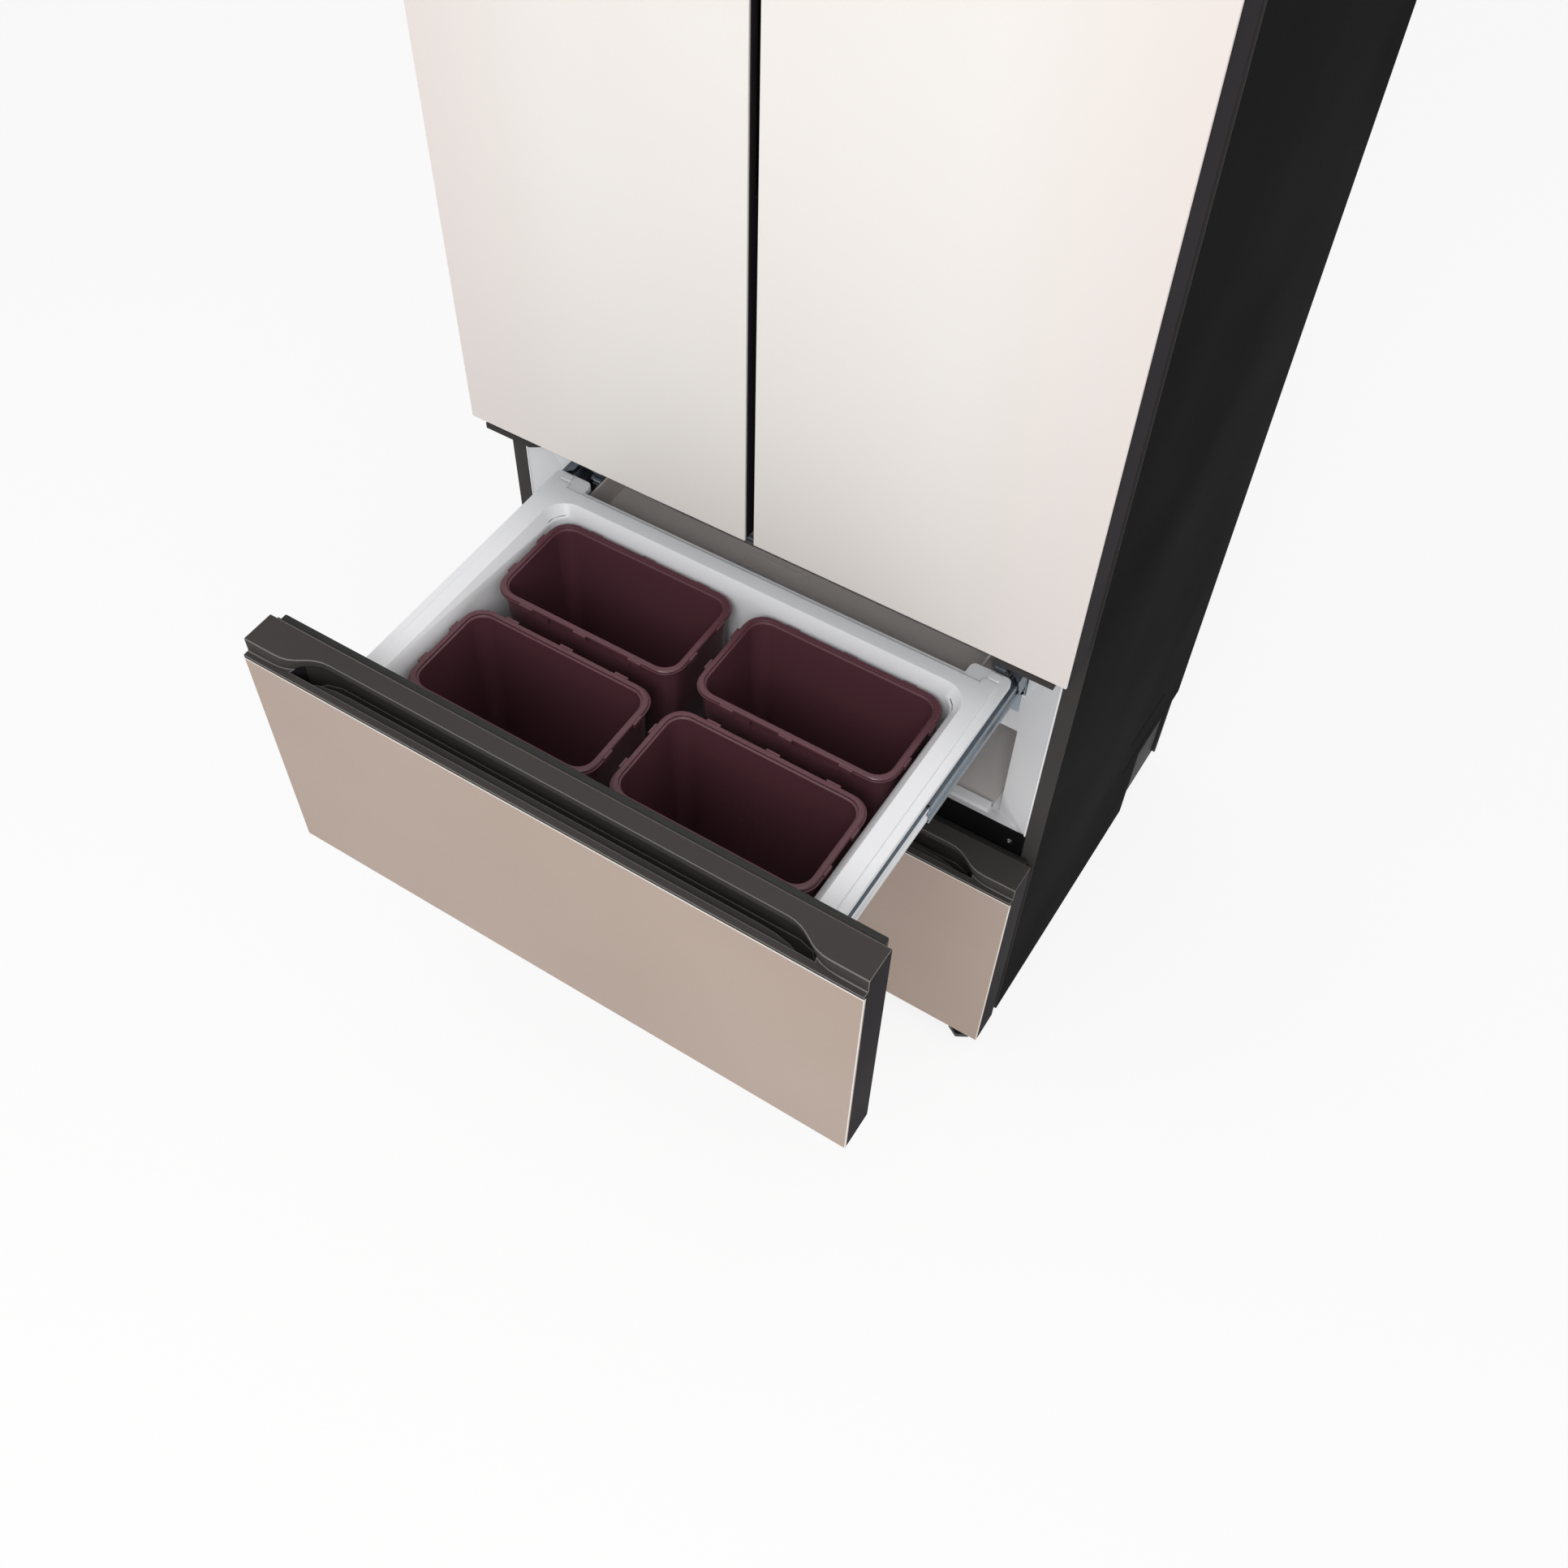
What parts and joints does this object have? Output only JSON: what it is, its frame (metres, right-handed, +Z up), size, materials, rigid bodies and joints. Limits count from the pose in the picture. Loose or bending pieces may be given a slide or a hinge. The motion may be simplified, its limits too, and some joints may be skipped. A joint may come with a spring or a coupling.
{
  "type": "kimchi refrigerator",
  "caption": "Kimchi refrigerator with two hinged doors above two pull-out drawers; the upper drawer stands open and holds removable food containers.",
  "frame": {"origin": "on the floor, under the middle of the whole object with the upper drawer standing open", "axes": "+Z up, +Y from the doors to the back, +X to the right seen from the front"},
  "size_m": [0.795, 1.0542, 1.853],
  "materials": {
    "cream_panel": "satin",
    "taupe_panel": "satin",
    "charcoal_plastic": "fine matt grain",
    "case_paint": "satin black",
    "frame_paint": "satin black",
    "white_plastic": "semi-gloss",
    "cooling_metal": "satin",
    "slide_steel": "zinc plated",
    "gasket_rubber": "matt",
    "burgundy_plastic": "semi-gloss",
    "shelf_glass": "clear",
    "black_plastic": "matt",
    "black_steel": "satin"
  },
  "bodies": {
    "cabinet": {"outer_case": "case_paint", "back_panel": "case_paint", "centre_frame": "frame_paint", "divider_rail": "frame_paint", "base_frame": "frame_paint", "upper_liner": "white_plastic", "upper_drawer_liner": "white_plastic", "lower_drawer_liner": "white_plastic", "upper_cooling_plate": "cooling_metal", "machine_cover": "black_plastic", "compressor": "black_steel", "condenser": "slide_steel", "hinge_cover": "charcoal_plastic", "left_duct_cover": "cooling_metal", "left_shelf": "shelf_glass", "left_lower_hinge": "black_steel", "left_upper_hinge": "slide_steel", "right_duct_cover": "cooling_metal", "right_shelf": "shelf_glass", "right_lower_hinge": "black_steel", "right_upper_hinge": "slide_steel", "upper_outer_slide_left": "slide_steel", "upper_outer_slide_right": "slide_steel", "lower_outer_slide_left": "slide_steel", "lower_outer_slide_right": "slide_steel"},
    "left_door": {"left_door_panel": "cream_panel", "left_door_frame": "charcoal_plastic", "left_door_liner": "white_plastic", "left_door_gasket": "gasket_rubber"},
    "left_foot": {"left_foot": "black_plastic"},
    "left_roller": {"left_roller": "black_plastic"},
    "right_door": {"right_door_panel": "cream_panel", "right_door_frame": "charcoal_plastic", "right_door_liner": "white_plastic", "right_door_gasket": "gasket_rubber"},
    "right_foot": {"right_foot": "black_plastic"},
    "right_roller": {"right_roller": "black_plastic"},
    "upper_drawer": {"upper_drawer_panel": "taupe_panel", "upper_drawer_handle_frame": "charcoal_plastic", "upper_drawer_inner_panel": "white_plastic", "upper_drawer_gasket": "gasket_rubber", "upper_drawer_tub": "white_plastic", "upper_drawer_carriage": "slide_steel"},
    "upper_sync_shaft": {"upper_sync_shaft": "slide_steel"},
    "upper_middle_slide_left": {"upper_middle_slide_left": "slide_steel"},
    "upper_middle_slide_right": {"upper_middle_slide_right": "slide_steel"},
    "lower_drawer": {"lower_drawer_panel": "taupe_panel", "lower_drawer_handle_frame": "charcoal_plastic", "lower_drawer_inner_panel": "white_plastic", "lower_drawer_gasket": "gasket_rubber", "lower_drawer_tub": "white_plastic", "lower_drawer_carriage": "slide_steel"},
    "lower_sync_shaft": {"lower_sync_shaft": "slide_steel"},
    "lower_middle_slide_left": {"lower_middle_slide_left": "slide_steel"},
    "lower_middle_slide_right": {"lower_middle_slide_right": "slide_steel"},
    "container_front_left": {"container_front_left": "burgundy_plastic"},
    "container_front_right": {"container_front_right": "burgundy_plastic"},
    "container_rear_left": {"container_rear_left": "burgundy_plastic"},
    "container_rear_right": {"container_rear_right": "burgundy_plastic"},
    "fan": {"fan_rotor": "black_plastic"}
  },
  "joints": [
    {"name": "left_door_hinge", "type": "hinge", "parent": "cabinet", "child": "left_door", "pos_m": [-0.3695, -0.08875, 1.3263], "axis": [0, 0, -1], "range_deg": [0, 120]},
    {"name": "right_door_hinge", "type": "hinge", "parent": "cabinet", "child": "right_door", "pos_m": [0.3695, -0.08875, 1.3263], "axis": [0, 0, 1], "range_deg": [0, 120]},
    {"name": "upper_drawer_slide", "type": "slide", "parent": "cabinet", "child": "upper_drawer", "axis": [0, -1, 0], "range_m": [-0.4164, 0.0236]},
    {"name": "lower_drawer_slide", "type": "slide", "parent": "cabinet", "child": "lower_drawer", "axis": [0, -1, 0], "range_m": [0, 0.44]},
    {"name": "upper_middle_slide_left_travel", "type": "slide", "parent": "cabinet", "child": "upper_middle_slide_left", "axis": [0, -1, 0], "range_m": [-0.2082, 0.0118]},
    {"name": "upper_middle_slide_right_travel", "type": "slide", "parent": "cabinet", "child": "upper_middle_slide_right", "axis": [0, -1, 0], "range_m": [-0.2082, 0.0118]},
    {"name": "lower_middle_slide_left_travel", "type": "slide", "parent": "cabinet", "child": "lower_middle_slide_left", "axis": [0, -1, 0], "range_m": [0, 0.22]},
    {"name": "lower_middle_slide_right_travel", "type": "slide", "parent": "cabinet", "child": "lower_middle_slide_right", "axis": [0, -1, 0], "range_m": [0, 0.22]},
    {"name": "upper_sync_shaft_turn", "type": "hinge", "parent": "upper_drawer", "child": "upper_sync_shaft", "pos_m": [0, 0.00125, 0.6996], "axis": [1, 0, 0], "range_deg": [-1330, 80]},
    {"name": "lower_sync_shaft_turn", "type": "hinge", "parent": "lower_drawer", "child": "lower_sync_shaft", "pos_m": [0, 0.41765, 0.313], "axis": [1, 0, 0], "range_deg": [-5, 1405]},
    {"name": "container_front_left_lift", "type": "slide", "parent": "upper_drawer", "child": "container_front_left", "axis": [0, 0, 1], "range_m": [0, 0.15]},
    {"name": "container_front_right_lift", "type": "slide", "parent": "upper_drawer", "child": "container_front_right", "axis": [0, 0, 1], "range_m": [0, 0.15]},
    {"name": "container_rear_left_lift", "type": "slide", "parent": "upper_drawer", "child": "container_rear_left", "axis": [0, 0, 1], "range_m": [0, 0.15]},
    {"name": "container_rear_right_lift", "type": "slide", "parent": "upper_drawer", "child": "container_rear_right", "axis": [0, 0, 1], "range_m": [0, 0.15]},
    {"name": "left_foot_turn", "type": "hinge", "parent": "cabinet", "child": "left_foot", "pos_m": [-0.3645, -0.08675, 0.014], "axis": [0, 0, 1], "continuous": true},
    {"name": "left_roller_turn", "type": "hinge", "parent": "cabinet", "child": "left_roller", "pos_m": [-0.338, 0.47925, 0.02], "axis": [1, 0, 0], "continuous": true},
    {"name": "right_foot_turn", "type": "hinge", "parent": "cabinet", "child": "right_foot", "pos_m": [0.3645, -0.08675, 0.014], "axis": [0, 0, 1], "continuous": true},
    {"name": "right_roller_turn", "type": "hinge", "parent": "cabinet", "child": "right_roller", "pos_m": [0.338, 0.47925, 0.02], "axis": [1, 0, 0], "continuous": true},
    {"name": "fan_turn", "type": "hinge", "parent": "cabinet", "child": "fan", "pos_m": [0.0234, 0.43305, 0.0969], "axis": [1, 0, 0], "continuous": true}
  ],
  "couplings": [
    {"joint": "upper_middle_slide_left_travel", "follows": "upper_drawer_slide", "ratio": 0.5},
    {"joint": "upper_middle_slide_right_travel", "follows": "upper_drawer_slide", "ratio": 0.5},
    {"joint": "lower_middle_slide_left_travel", "follows": "lower_drawer_slide", "ratio": 0.5},
    {"joint": "lower_middle_slide_right_travel", "follows": "lower_drawer_slide", "ratio": 0.5},
    {"joint": "upper_sync_shaft_turn", "follows": "upper_drawer_slide", "rad_per_m": 55.556},
    {"joint": "lower_sync_shaft_turn", "follows": "lower_drawer_slide", "rad_per_m": 55.556}
  ]
}
